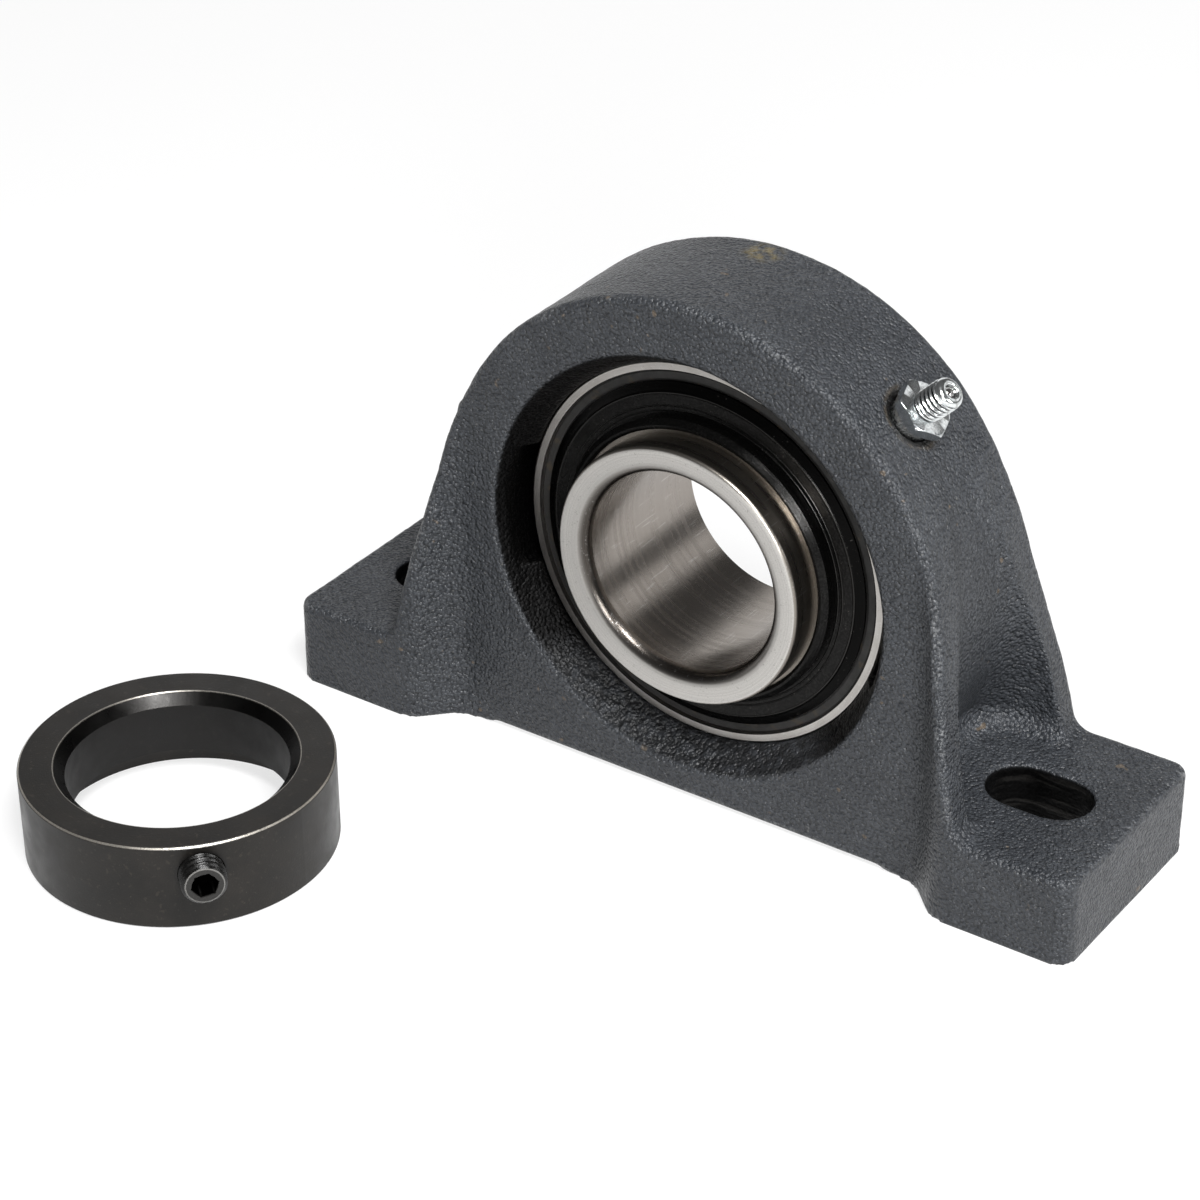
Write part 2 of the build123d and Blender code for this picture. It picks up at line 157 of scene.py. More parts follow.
# Studio: lamps with place, size and power
AMBIENT = 0.09
HORIZON = 0.20
OVERHEAD = 0.10
FLOOR_COLOR = 0.28
FLOOR_GLOW = 0.74
FLOOR_REACH = 6.0
FLOOR_DROP = 0.05 * MM
LAMP_AIM = (0, 0, 0.05)
LAMPS = [
    ("key", (0.50, -0.42, 1.05), (0.40, 0.32), 17),
    ("front", (0.50, -0.62, 0.36), (0.24, 0.18), 5.0),
    ("right", (1.15, 0.12, 0.46), (0.36, 0.28), 3.8),
    ("left", (-1.25, 0.40, 0.26), (0.4, 0.3), 0.6),
    ("back_right", (0.78, 0.98, 0.62), (0.70, 0.42), 0.85),
    ("back_left", (-0.70, 1.04, 0.48), (0.95, 0.75), 2.1),
]

# Camera, from the picture's vanishing points and the bore's ellipse
CAMERA_AZIMUTH = math.radians(35.01)
CAMERA_ELEVATION = math.radians(31.08)
CAMERA_ROLL = math.radians(-0.5)
CAMERA_DISTANCE = 0.7111
CAMERA_LENS = 104.394
CAMERA_SENSOR = 36
CAMERA_NEAR = 0.01
CAMERA_FAR = 50
AIM_RIGHT = -0.02628
AIM_UP = -0.0130


def link(obj):
    bpy.context.scene.collection.objects.link(obj)
    return obj


def opaque(color):
    """Adds alpha to a linear (red, green, blue), and passes a socket on as it is."""
    return (*color, 1) if isinstance(color, tuple) else color


def warm_grey(value, warmth):
    """A linear grey with a little more red and a little less blue."""
    return value * (1 + warmth), value, value * (1 - warmth)


class Graph:
    """A small helper that wires the nodes of one material or world."""

    def __init__(self, owner):
        self.owner = owner
        owner.use_nodes = True
        self.tree = owner.node_tree
        self.tree.nodes.clear()

    def feed(self, socket, value):
        if isinstance(value, bpy.types.NodeSocket):
            self.tree.links.new(value, socket)
        else:
            socket.default_value = value

    def node(self, kind, inputs=(), **settings):
        made = self.tree.nodes.new(kind)
        for name, value in settings.items():
            setattr(made, name, value)
        for name, value in dict(inputs).items():
            self.feed(made.inputs[name], value)
        return made

    def position(self):
        return self.node("ShaderNodeTexCoord").outputs["Object"]

    def stretched(self, x, y, z):
        """The position with each axis scaled; features are drawn out along the small ones."""
        return self.vector("MULTIPLY", self.position(), (x, y, z))

    def math(self, operation, first, second=0.0):
        return self.node("ShaderNodeMath", {0: first, 1: second}, operation=operation).outputs[0]

    def chain(self, operation, first, *rest):
        result = first
        for value in rest:
            result = self.math(operation, result, value)
        return result

    def times(self, *values):
        return self.chain("MULTIPLY", *values)

    def plus(self, *values):
        return self.chain("ADD", *values)

    def minus(self, first, second):
        return self.math("SUBTRACT", first, second)

    def vector(self, operation, first, second):
        made = self.node("ShaderNodeVectorMath", {0: first, 1: second}, operation=operation)
        return made.outputs["Vector"]

    def length(self, vector):
        return self.node("ShaderNodeVectorMath", {0: vector}, operation="LENGTH").outputs["Value"]

    def split(self, vector):
        return self.node("ShaderNodeSeparateXYZ", {"Vector": vector}).outputs

    def joined(self, x=0.0, y=0.0, z=0.0):
        return self.node("ShaderNodeCombineXYZ", {"X": x, "Y": y, "Z": z}).outputs["Vector"]

    def noise(self, size, detail=2.0, roughness=0.5, vector=None):
        """Noise whose features are about size metres across."""
        place = self.position() if vector is None else vector
        made = self.node("ShaderNodeTexNoise", {
            "Vector": place, "Scale": 1 / size, "Detail": detail, "Roughness": roughness,
        })
        return made.outputs["Fac"]

    def cells(self, size):
        """Distance from the nearest of many scattered points, size metres apart."""
        made = self.node("ShaderNodeTexVoronoi", {"Vector": self.position(), "Scale": 1 / size})
        return made.outputs["Distance"]

    def ramp(self, value, low, high, start=0.0, end=1.0):
        """Maps low..high to start..end, clamped and eased."""
        limits = {"From Min": low, "From Max": high, "To Min": start, "To Max": end}
        made = self.node(
            "ShaderNodeMapRange", {"Value": value, **limits}, interpolation_type="SMOOTHSTEP"
        )
        return made.outputs["Result"]

    def band(self, value, rise, fall):
        """One between two ramps: each is a pair of limits, the outer one first."""
        return self.times(self.ramp(value, *rise), self.ramp(value, *fall))

    def mix(self, share, first, second):
        """Blends two colours, each a socket or a linear (red, green, blue)."""
        inputs = {0: share, 6: opaque(first), 7: opaque(second)}
        return self.node("ShaderNodeMix", inputs, data_type="RGBA").outputs[2]

    def over(self, color, coat, *shares):
        """Lays a coat over a colour, as far as all the shares allow."""
        return self.mix(self.times(*shares), color, coat)

    def attribute(self, name):
        return self.node("ShaderNodeAttribute", attribute_name=name).outputs["Fac"]

    def bump(self, height, depth):
        """A bump whose height runs from 0 to 1 over depth metres."""
        return self.node("ShaderNodeBump", {"Height": height, "Distance": depth}).outputs["Normal"]

    def turned_place(self, centre, along):
        """(radius, place along the axis, 0) for a piece turned about an axis through centre."""
        offset = self.split(self.vector("SUBTRACT", self.position(), tuple(centre)))
        across = [0.0 if axis == along else offset[axis] for axis in range(3)]
        radius = self.length(self.joined(*across))
        return self.joined(radius, offset[along]), radius, offset[along]

    def own_place(self, own_frame):
        """Radius and height in a piece's own frame, whose axis is Z."""
        local = self.node("ShaderNodeMapping", {
            "Vector": self.position(),
            "Location": own_frame.to_translation(),
            "Rotation": own_frame.to_euler(),
        }, vector_type="TEXTURE")
        place = self.split(local.outputs["Vector"])
        return self.length(self.joined(place["X"], place["Y"])), place["Z"]

    def near(self, point, inner, outer):
        """One within inner metres of a point, falling to zero at outer."""
        offset = self.vector("SUBTRACT", self.position(), tuple(point))
        return self.ramp(self.length(offset), outer, inner)

    def show(self, surface, kind="ShaderNodeOutputMaterial"):
        self.node(kind, {"Surface": surface})
        return self.owner

    def finish(self, color, roughness, metallic, normal, specular=0.5):
        """Closes a material with one shader; the specular level is set on the shader itself."""
        shader = self.node("ShaderNodeBsdfPrincipled", {
            "Base Color": color, "Roughness": roughness, "Metallic": metallic, "Normal": normal,
            "Specular IOR Level": specular,
        })
        return self.show(shader.outputs["BSDF"])


def material(name):
    return Graph(bpy.data.materials.new(name))


def painted_iron():
    """Dark blue-grey paint on rough cast iron, bare in the mouth and the bolt slots, which are darkened
    near-black as painted shade.
    """
    dark, light = (0.032, 0.0350, 0.0405), (0.045, 0.0490, 0.0560)
    crest, hollow_shade = (0.080, 0.085, 0.092), (0.012, 0.013, 0.015)
    edge_wear_and_highlight, speck = (0.20, 0.205, 0.21), (0.20, 0.195, 0.18)
    tan, ochre, brown = (0.15, 0.11, 0.07), (0.20, 0.155, 0.06), (0.060, 0.042, 0.020)
    bare_iron_shade, gasket_and_shadow_black = (0.0065, 0.0062, 0.0060), (0.004, 0.0035, 0.003)
    streak, lip = (0.060, 0.057, 0.054), (0.030, 0.032, 0.036)

    g = material("cast_iron_paint")
    blotch = g.noise(15 * MM, 4, 0.6)
    grain = g.noise(0.66 * MM)
    coarse = g.noise(2.1 * MM)
    pebble = g.cells(0.74 * MM)
    pebbles = g.times(pebble, pebble)
    fine = g.noise(0.26 * MM)
    color = g.mix(g.ramp(blotch, 0.3, 0.7), dark, light)
    # Painted highlight on the grain's crests, and painted shade in its hollows and in the creases
    # between the pebbles.
    color = g.over(color, crest, g.ramp(grain, 0.52, 0.64, 0.0, 0.35))
    color = g.over(color, hollow_shade, g.ramp(grain, 0.49, 0.38, 0.0, 0.35))
    color = g.over(color, hollow_shade, g.ramp(pebbles, 0.16, 0.38, 0.0, 0.4))

    # Edge wear and painted highlight: the convex edges are lightened in broken stretches.
    broken = g.ramp(g.noise(0.8 * MM, 3, 0.6), 0.50, 0.60)
    stretches = g.ramp(g.noise(9 * MM), 0.44, 0.60, 0.15, 1.0)
    color = g.over(color, edge_wear_and_highlight, g.ramp(g.attribute("edge"), 0.5, 1.0), broken, stretches, 0.6)
    color = g.over(color, speck, g.ramp(g.noise(0.7 * MM), 0.69, 0.75), 0.5)
    color = g.over(color, tan, g.ramp(g.noise(3.1 * MM, 1), 0.75, 0.79), 0.5)
    smudge = g.near(SMUDGE_PLACE, 1.0 * MM, 5.5 * MM)
    color = g.over(color, ochre, smudge, g.ramp(coarse, 0.35, 0.62), 0.65)

    # Painted shade: the mouth and the bolt slots are darkened near-black over their bare metal.
    inside = g.attribute("inside")
    color = g.over(color, bare_iron_shade, inside, 0.95)
    rust = g.near(FITTING_FOOT, 6.4 * MM, 7.6 * MM)
    color = g.over(color, brown, rust, g.ramp(coarse, 0.35, 0.6), 0.5)
    # A black ring round the fitting's foot: its gasket, and painted shadow under its hexagon.
    color = g.over(color, gasket_and_shadow_black, g.near(FITTING_FOOT, 5.9 * MM, 6.5 * MM))

    # Layers in the bolt slots, and the coarse lip at the bottom of the mouth
    layers = g.noise(1.5 * MM, vector=g.stretched(0.12, 0.12, 1))
    place = g.split(g.position())
    out_squared = g.times(place["X"], place["X"])
    in_foot = g.times(inside, g.ramp(out_squared, FOOT_FROM**2, (FOOT_FROM + FOOT_BLEND) ** 2))
    low_lip = g.times(inside, g.ramp(place["Z"], AXIS_HEIGHT - 27 * MM, AXIS_HEIGHT - 36 * MM))
    low_lip = g.times(low_lip, g.minus(1.0, in_foot))
    bare = g.minus(inside, low_lip)
    color = g.over(color, streak, in_foot, g.ramp(layers, 0.52, 0.62, 0.0, 0.5))
    color = g.over(color, lip, low_lip, g.ramp(coarse, 0.46, 0.62, 0.3, 0.9))

    height = g.minus(g.times(grain, 0.75), g.times(pebbles, 0.9))
    height = g.plus(height, g.times(fine, 0.09), g.times(coarse, 0.9))
    height = g.times(height, g.minus(1.0, g.times(in_foot, 0.8)))
    height = g.plus(height, g.times(layers, 0.7, in_foot), g.times(coarse, 1.6, low_lip))
    height = g.times(height, g.minus(1.0, g.times(bare, 0.5)))
    roughness = g.plus(g.ramp(grain, 0.40, 0.62, 0.40, 0.29), g.times(bare, 0.12))
    return g.finish(color, roughness, bare, g.bump(height, 0.46 * MM), specular=0.36)


def ground_steel():
    """Ground bearing steel: a fine-blasted end face, a turned bore and a painted dark brown reflection
    on the cam's outside.
    """
    clean, stained = (0.47, 0.452, 0.43), (0.40, 0.380, 0.356)
    face_grey, face_speck = (0.63, 0.615, 0.59), (0.40, 0.385, 0.365)
    bore_grey, bore_streak = (0.325, 0.295, 0.268), (0.28, 0.250, 0.220)
    shade, dark_brown_reflection, turned = (0.055, 0.048, 0.042), (0.22, 0.196, 0.168), (0.20, 0.188, 0.175)
    fleck, scratched = (0.12, 0.105, 0.09), (0.75, 0.74, 0.72)

    g = material("ground_steel")
    place, radius, length = g.turned_place(SHAFT, ALONG_Y)
    frontward = g.times(length, -1.0)
    rings = g.noise(0.13 * MM, 3, 0.65, place)
    bands = g.noise(1.5 * MM, vector=place)
    speckle = g.noise(0.28 * MM, 3, 0.7)
    stains = g.noise(6 * MM, 4, 0.6)
    axial_streaks = g.noise(11 * MM, vector=g.stretched(1, 0.35, 1))
    scratch = g.noise(0.4 * MM, 1, vector=g.stretched(1, 0.06, 1))

    bore = g.ramp(radius, 22.9 * MM, 22.3 * MM)
    face = g.ramp(frontward, 19.35 * MM, 19.55 * MM)
    cam_side = g.band(radius, (27.4 * MM, 28.1 * MM), (31 * MM, 30 * MM))
    rounding = g.band(radius, (22.25 * MM, 22.5 * MM), (25.1 * MM, 24.85 * MM))
    front_end = g.ramp(frontward, 16.6 * MM, 16.9 * MM)
    inward = g.ramp(radius, 24.7 * MM, 23.0 * MM, 0.15, 1.0)

    color = g.mix(g.ramp(stains, 0.35, 0.7), clean, stained)
    color = g.over(color, face_grey, face)
    color = g.over(color, bore_grey, bore)
    # Darker streaks in the bore, drawn out along the axis.
    color = g.over(color, bore_streak, bore, g.ramp(axial_streaks, 0.38, 0.62, 0.0, 0.4))
    color = g.over(color, shade, rounding, front_end, inward)
    # Painted reflection: the outside of the cam is darkened to brown.
    color = g.over(color, dark_brown_reflection, cam_side, g.ramp(face, 1.0, 0.0), 0.85)
    color = g.over(color, turned, g.ramp(rings, 0.35, 0.65, 0.0, 0.25))
    color = g.over(color, face_speck, face, g.ramp(speckle, 0.42, 0.66, 0.0, 0.45))
    color = g.over(color, fleck, g.ramp(g.noise(0.45 * MM, 1), 0.70, 0.76, 0.0, 0.45))
    color = g.over(color, scratched, g.ramp(scratch, 0.67, 0.71), 0.2)

    roughness = g.plus(g.ramp(bands, 0.3, 0.7, 0.24, 0.34), g.times(face, 0.26), g.times(bore, -0.07))
    roughness = g.plus(roughness, g.times(stains, 0.06))
    height = g.plus(g.times(rings, 0.6), g.times(speckle, g.ramp(face, 0, 1, 0.8, 1.8)))
    return g.finish(color, roughness, 1.0, g.bump(height, 0.011 * MM))


def black_pressed_steel():
    """Black coated flingers with a bead at the bend and faint drawing rings."""
    dark, light = (0.010, 0.0098, 0.0095), (0.022, 0.0215, 0.021)
    rim_shade_black, dust_grey, bead_highlight_grey = (0.004, 0.0039, 0.0038), (0.16, 0.15, 0.14), (0.07, 0.068, 0.065)
    # Radius and half width of each bead, in millimetres
    beads = [(36.1, 0.35), (33.4, 0.22), (32.4, 0.22)]

    g = material("black_steel")
    place, radius, _ = g.turned_place(SHAFT, ALONG_Y)
    fine = g.noise(0.4 * MM, 3, 0.6)
    rings = g.noise(0.45 * MM, vector=place)
    dust = g.ramp(g.noise(0.55 * MM), 0.69, 0.74)
    clusters = g.ramp(g.noise(7 * MM), 0.42, 0.62)
    bead = g.plus(*[
        g.ramp(g.math("ABSOLUTE", g.minus(radius, middle * MM)), half_width * MM, 0.0)
        for middle, half_width in beads
    ])
    color = g.mix(g.ramp(fine, 0.4, 0.7), dark, light)
    # Painted shade: the rim, down in the groove by the seal, is darkened to near-black.
    color = g.over(color, rim_shade_black, g.ramp(radius, 35.6 * MM, 36.4 * MM))
    color = g.over(color, dust_grey, dust, clusters, 0.5)
    # Painted highlight: the beads are lightened into bright rings.
    color = g.over(color, bead_highlight_grey, bead, 0.4)
    height = g.plus(g.times(fine, 0.28), g.times(rings, 0.22), g.times(bead, 1.6))
    roughness = g.ramp(g.noise(4 * MM, 3), 0.3, 0.7, 0.20, 0.30)
    return g.finish(color, roughness, 0.9, g.bump(height, 0.09 * MM), specular=0.2)


def rubber():
    """Black seal rubber with thin patches of grease."""
    dark, light, grease = (0.008, 0.008, 0.008), (0.020, 0.0185, 0.017), (0.05, 0.035, 0.018)
    g = material("seal_rubber")
    fine = g.noise(0.3 * MM, 3, 0.6)
    color = g.mix(fine, dark, light)
    color = g.over(color, grease, g.ramp(g.noise(2.5 * MM, 3), 0.60, 0.70, 0.0, 0.35))
    roughness = g.ramp(g.noise(2 * MM, 3), 0.3, 0.7, 0.45, 0.65)
    return g.finish(color, roughness, 0.0, g.bump(fine, 0.03 * MM), specular=0.35)


def zinc():
    """Bright zinc plate, greyer towards the hexagon's corners, with painted shade in the thread's
    roots.
    """
    bright, soft, stain = (0.82, 0.84, 0.84), (0.66, 0.69, 0.70), (0.34, 0.335, 0.31)
    corner_grey, root_shade_black = (0.36, 0.39, 0.41), (0.045, 0.045, 0.047)
    g = material("zinc_plate")
    crystals = g.noise(0.7 * MM, 3, 0.6)
    radius, height = g.own_place(FITTING_FRAME)
    on_neck = g.band(height, (4.7 * MM, 4.9 * MM), (11.0 * MM, 10.8 * MM))
    color = g.mix(g.ramp(crystals, 0.35, 0.7), bright, soft)
    color = g.over(color, stain, g.ramp(g.noise(1.4 * MM, 3), 0.56, 0.70, 0.0, 0.35))
    color = g.over(color, corner_grey, g.ramp(radius, 4.9 * MM, 5.9 * MM, 0.0, 0.4))
    # Painted shade in the thread's roots.
    color = g.over(color, root_shade_black, on_neck, g.ramp(radius, 3.16 * MM, 2.86 * MM))
    roughness = g.ramp(crystals, 0.3, 0.7, 0.14, 0.24)
    return g.finish(color, roughness, 1.0, g.bump(g.noise(0.18 * MM), 0.010 * MM))


def polished_ball():
    """Polished bearing balls under a thin haze."""
    bright, hazed, speck = warm_grey(0.66, 0.0), warm_grey(0.52, 0.04), warm_grey(0.30, 0.08)
    g = material("ball_steel")
    haze = g.noise(3 * MM, 3, 0.6)
    color = g.mix(haze, bright, hazed)
    color = g.over(color, speck, g.ramp(g.noise(0.35 * MM), 0.66, 0.74, 0.0, 0.4))
    return g.finish(color, g.ramp(haze, 0.3, 0.7, 0.08, 0.16), 1.0, g.bump(haze, 0.004 * MM))


def pressed_cage():
    """Bare pressed steel for the cage, its rivets and the spring."""
    bright, dull = warm_grey(0.46, 0.03), warm_grey(0.30, 0.05)
    g = material("pressed_steel")
    drawn = g.noise(0.35 * MM, vector=g.stretched(1, 0.2, 1))
    color = g.mix(g.ramp(g.noise(0.4 * MM, 3, 0.6), 0.35, 0.7), bright, dull)
    return g.finish(color, g.ramp(drawn, 0.3, 0.7, 0.28, 0.42), 1.0, g.bump(drawn, 0.02 * MM))


def black_oxide():
    """Black oxide on a turned collar, worn to bare steel along its edges."""
    dark, light = (0.0062, 0.0054, 0.0046), (0.0125, 0.0107, 0.0090)
    brown_patch, speck = (0.040, 0.034, 0.027), (0.085, 0.078, 0.066)
    chamfer_black, bore_shade_black = (0.019, 0.0185, 0.018), (0.0035, 0.0033, 0.0034)
    bare_steel, hole_shadow_black = (0.50, 0.47, 0.42), (0.003, 0.0028, 0.0026)
    edge_width, edge_blur = 0.46 * MM, 0.16 * MM

    g = material("black_oxide")
    low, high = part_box("locking_collar")
    place, radius, length = g.turned_place((low + high) / 2, ALONG_Z)
    half = (high.z - low.z) / 2
    outside = (high.y - low.y) / 2
    rings = g.noise(0.22 * MM, 3, 0.6, place)
    cloud = g.noise(10 * MM, 4, 0.6)
    fine = g.noise(0.45 * MM, 3, 0.65)

    outer_edge = g.times(*[
        g.ramp(value, limit - edge_width, limit - edge_width + edge_blur)
        for value, limit in ((radius, outside), (length, half))
    ])
    chamfer = g.times(
        g.ramp(radius, 25.2 * MM, 25.0 * MM), g.ramp(length, half - 2.45 * MM, half - 2.2 * MM)
    )
    bore = g.times(
        g.ramp(radius, 25.0 * MM, 24.8 * MM), g.ramp(length, half - 2.2 * MM, half - 2.5 * MM)
    )
    rim = g.band(radius, (24.85 * MM, 25.0 * MM), (25.3 * MM, 25.15 * MM))
    rim = g.times(rim, g.ramp(length, half - 0.35 * MM, half - 0.15 * MM))
    patchy = g.ramp(g.noise(0.35 * MM, 3, 0.65), 0.34, 0.54, 0.45, 1.0)
    bare = g.times(g.math("MAXIMUM", outer_edge, g.times(rim, 0.5)), patchy)
    around_screw = Vector((math.cos(SCREW_TURN), math.sin(SCREW_TURN), 0)) * SCREW_HOLE_REACH
    hole = g.near(Vector((COLLAR_X, COLLAR_Y, SCREW_HEIGHT)) + around_screw, 4.9 * MM, 5.7 * MM)

    color = g.mix(g.ramp(cloud, 0.3, 0.7), dark, light)
    color = g.over(color, brown_patch, g.ramp(g.noise(1.3 * MM, 3), 0.60, 0.72, 0.0, 0.4))
    color = g.over(color, speck, g.ramp(fine, 0.66, 0.74, 0.0, 0.5))
    color = g.over(color, chamfer_black, chamfer)
    # Painted shade: the collar's bore is darkened.
    color = g.over(color, bore_shade_black, bore, 0.8)
    color = g.over(color, bare_steel, bare)
    # Painted shadow: a dark ring round the set screw's base.
    color = g.over(color, hole_shadow_black, hole, 0.8)
    height = g.plus(g.times(rings, 0.5), g.times(fine, 0.7))
    roughness = g.ramp(g.noise(5 * MM, 3), 0.3, 0.7, 0.32, 0.44)
    roughness = g.plus(roughness, g.times(chamfer, -0.08), g.times(bore, 0.22))
    metal = g.math("MAXIMUM", bare, chamfer)
    return g.finish(color, roughness, metal, g.bump(height, 0.035 * MM), specular=0.32)


def black_screw():
    """Black set screw with worn specks, a lighter end face, a painted highlight round the end's rim and
    an unlit socket.
    """
    dark, light, worn = (0.002, 0.0019, 0.0018), (0.005, 0.0047, 0.0044), (0.09, 0.088, 0.085)
    face_grey, rim_highlight_grey = (0.035, 0.034, 0.032), (0.22, 0.215, 0.205)
    socket_black = (0.0006, 0.0006, 0.0006)
    g = material("screw_black")
    fine = g.noise(0.3 * MM, 3, 0.6)
    radius, height = g.own_place(SCREW_FRAME)
    end = g.ramp(height, -0.35 * MM, -0.1 * MM)
    rim = g.band(radius, (3.66 * MM, 3.80 * MM), (4.05 * MM, 3.95 * MM))
    socket = g.times(g.ramp(radius, 2.9 * MM, 2.7 * MM), g.ramp(height, -0.1 * MM, -0.5 * MM))
    color = g.mix(g.ramp(fine, 0.35, 0.7), dark, light)
    color = g.over(color, worn, g.ramp(g.noise(0.4 * MM), 0.66, 0.74, 0.0, 0.5))
    color = g.over(color, face_grey, end, g.ramp(radius, 3.8 * MM, 3.6 * MM), 0.6)
    # Painted highlight round the rim of the screw's end.
    color = g.over(color, rim_highlight_grey, rim, end, 0.7)
    color = g.over(color, socket_black, socket)
    roughness = g.plus(g.ramp(g.noise(1.2 * MM), 0.3, 0.7, 0.20, 0.34), g.times(socket, 0.5))
    return g.finish(color, roughness, socket, g.bump(fine, 0.03 * MM), specular=0.3)


def wear(obj, finish):
    """Puts one material on every slot of an object."""
    if not obj.data.materials:
        obj.data.materials.append(finish)
    for slot in obj.material_slots:
        slot.material = finish


def neighbour_mean(values, edges, count):
    """Mean of each vertex's neighbours."""
    total = np.zeros((len(count),) + values.shape[1:])
    np.add.at(total, edges[:, 0], values[edges[:, 1]])
    np.add.at(total, edges[:, 1], values[edges[:, 0]])
    return total / count.reshape((-1,) + (1,) * (values.ndim - 1))


def remeshed_housing():
    """The housing's solid as one even mesh of small faces."""
    mesh = nodes["housing"].data.copy()
    shell = bmesh.new()
    shell.from_mesh(mesh)
    bmesh.ops.remove_doubles(shell, verts=shell.verts, dist=WELD_DISTANCE)
    shell.to_mesh(mesh)
    shell.free()
    rough = link(bpy.data.objects.new("rough_housing", mesh))
    remesh = rough.modifiers.new("Remesh", "REMESH")
    remesh.mode = "VOXEL"
    remesh.voxel_size = VOXEL
    graph = bpy.context.evaluated_depsgraph_get()
    cast = bpy.data.meshes.new_from_object(rough.evaluated_get(graph))
    bpy.data.objects.remove(rough)
    return cast


def read_vectors(items, name):
    """One vector of each vertex as the rows of an array."""
    flat = np.empty(len(items) * 3)
    items.foreach_get(name, flat)
    return flat.reshape(-1, 3)


def uneven_skin(co):
    """How far the casting's skin stands out at each point."""
    skin = np.array([
        sum(height * noise.noise(Vector(point) / size) for height, size in CAST_SKIN) for point in co
    ])
    skin -= CAST_WAVE / 2
    for place, reach, height in BLEMISHES:
        away = np.linalg.norm(co - np.array(place) * MM, axis=1) / (reach * MM)
        skin += height * MM * np.clip(1 - away**2, 0, 1) ** 2
    return skin


def cast_housing(finish):
    """The housing as a casting: its edges are rounded and its skin is uneven."""
    cast = remeshed_housing()
    co = read_vectors(cast.vertices, "co")
    edges = np.empty(len(cast.edges) * 2, int)
    cast.edges.foreach_get("vertices", edges)
    edges = edges.reshape(-1, 2)
    count = np.bincount(edges.ravel(), minlength=len(co)).astype(float)

    radius = np.hypot(co[:, 0], co[:, 2] - SHAFT.z)
    aside = np.abs(co[:, 1])
    beyond_slot = np.abs(co[:, 0]) - SLOT_CENTRE
    along_slot = np.clip(beyond_slot, -SLOT_HALF_SPAN, SLOT_HALF_SPAN)
    from_slot = np.hypot(beyond_slot - along_slot, co[:, 1])
    in_seat = (radius < SEAT_KEEP_RADIUS) & (aside < SEAT_KEEP_HALF_WIDTH)
    on_mouth = np.abs(radius - MOUTH_RADIUS) < MOUTH_RIM_REACH
    on_mouth &= aside > ARCH_HALF_WIDTH - MOUTH_RIM_DEPTH
    on_base = co[:, 2] < BASE_KEEP_HEIGHT
    on_slot = np.abs(from_slot - SLOT_RADIUS) < SLOT_RIM_REACH
    freedom = np.select(
        [in_seat, on_mouth, on_base, on_slot],
        [SEAT_FREEDOM, MOUTH_FREEDOM, BASE_FREEDOM, SLOT_FREEDOM],
        SKIN_FREEDOM,
    )[:, None]
    for _ in range(EDGE_ROUNDING_STEPS):
        co += 0.5 * freedom * (neighbour_mean(co, edges, count) - co)
    cast.vertices.foreach_set("co", co.ravel())
    cast.update()

    normals = read_vectors(cast.vertices, "normal")
    edge = ((co - neighbour_mean(co, edges, count)) * normals).sum(1)
    for _ in range(EDGE_SPREADING_STEPS):
        edge = neighbour_mean(edge, edges, count)
    edge = np.where(in_seat | on_slot, 0, np.clip(edge / CONVEX_EDGE_LIFT, 0, 1))
    in_slot = from_slot < SLOT_RADIUS + SLOT_INSIDE_REACH
    in_slot &= co[:, 2] < FOOT_HEIGHT - SLOT_INSIDE_DEPTH
    in_mouth = radius < MOUTH_RADIUS + MOUTH_INSIDE_REACH
    in_mouth &= aside < ARCH_HALF_WIDTH - MOUTH_INSIDE_DEPTH
    inside = (in_slot | in_mouth).astype(float)
    inside = 0.5 * inside + 0.5 * neighbour_mean(inside, edges, count)

    co += normals * (uneven_skin(co) * np.where(in_seat, 0, freedom[:, 0]))[:, None]
    low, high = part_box("housing")
    co = np.clip(co, np.array(low), np.array(high))
    cast.vertices.foreach_set("co", co.ravel())
    for name, values in (("edge", edge), ("inside", inside)):
        attribute = cast.attributes.new(name, "FLOAT", "POINT")
        attribute.data.foreach_set("value", values.astype(np.float32))
    cast.polygons.foreach_set("use_smooth", np.ones(len(cast.polygons), bool))
    cast.update()
    obj = link(bpy.data.objects.new("cast_housing", cast))
    wear(obj, finish)
    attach(obj, "base")
    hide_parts("housing")


def hexagon(theta, flat, turn):
    """Radius of a hexagon with a half width of flat and a corner at turn."""
    return flat / np.cos((theta - turn) % (math.pi / 3) - math.pi / 6)


def thread(theta, height, pitch, crest, root):
    """Radius of a right-hand thread with narrow crests and rounded roots."""
    phase = (height / pitch - theta / (2 * math.pi)) % 1
    rise = 1 - np.abs(2 * phase - 1)
    return root + (crest - root) * (rise * rise * (3 - 2 * rise)) ** 0.8


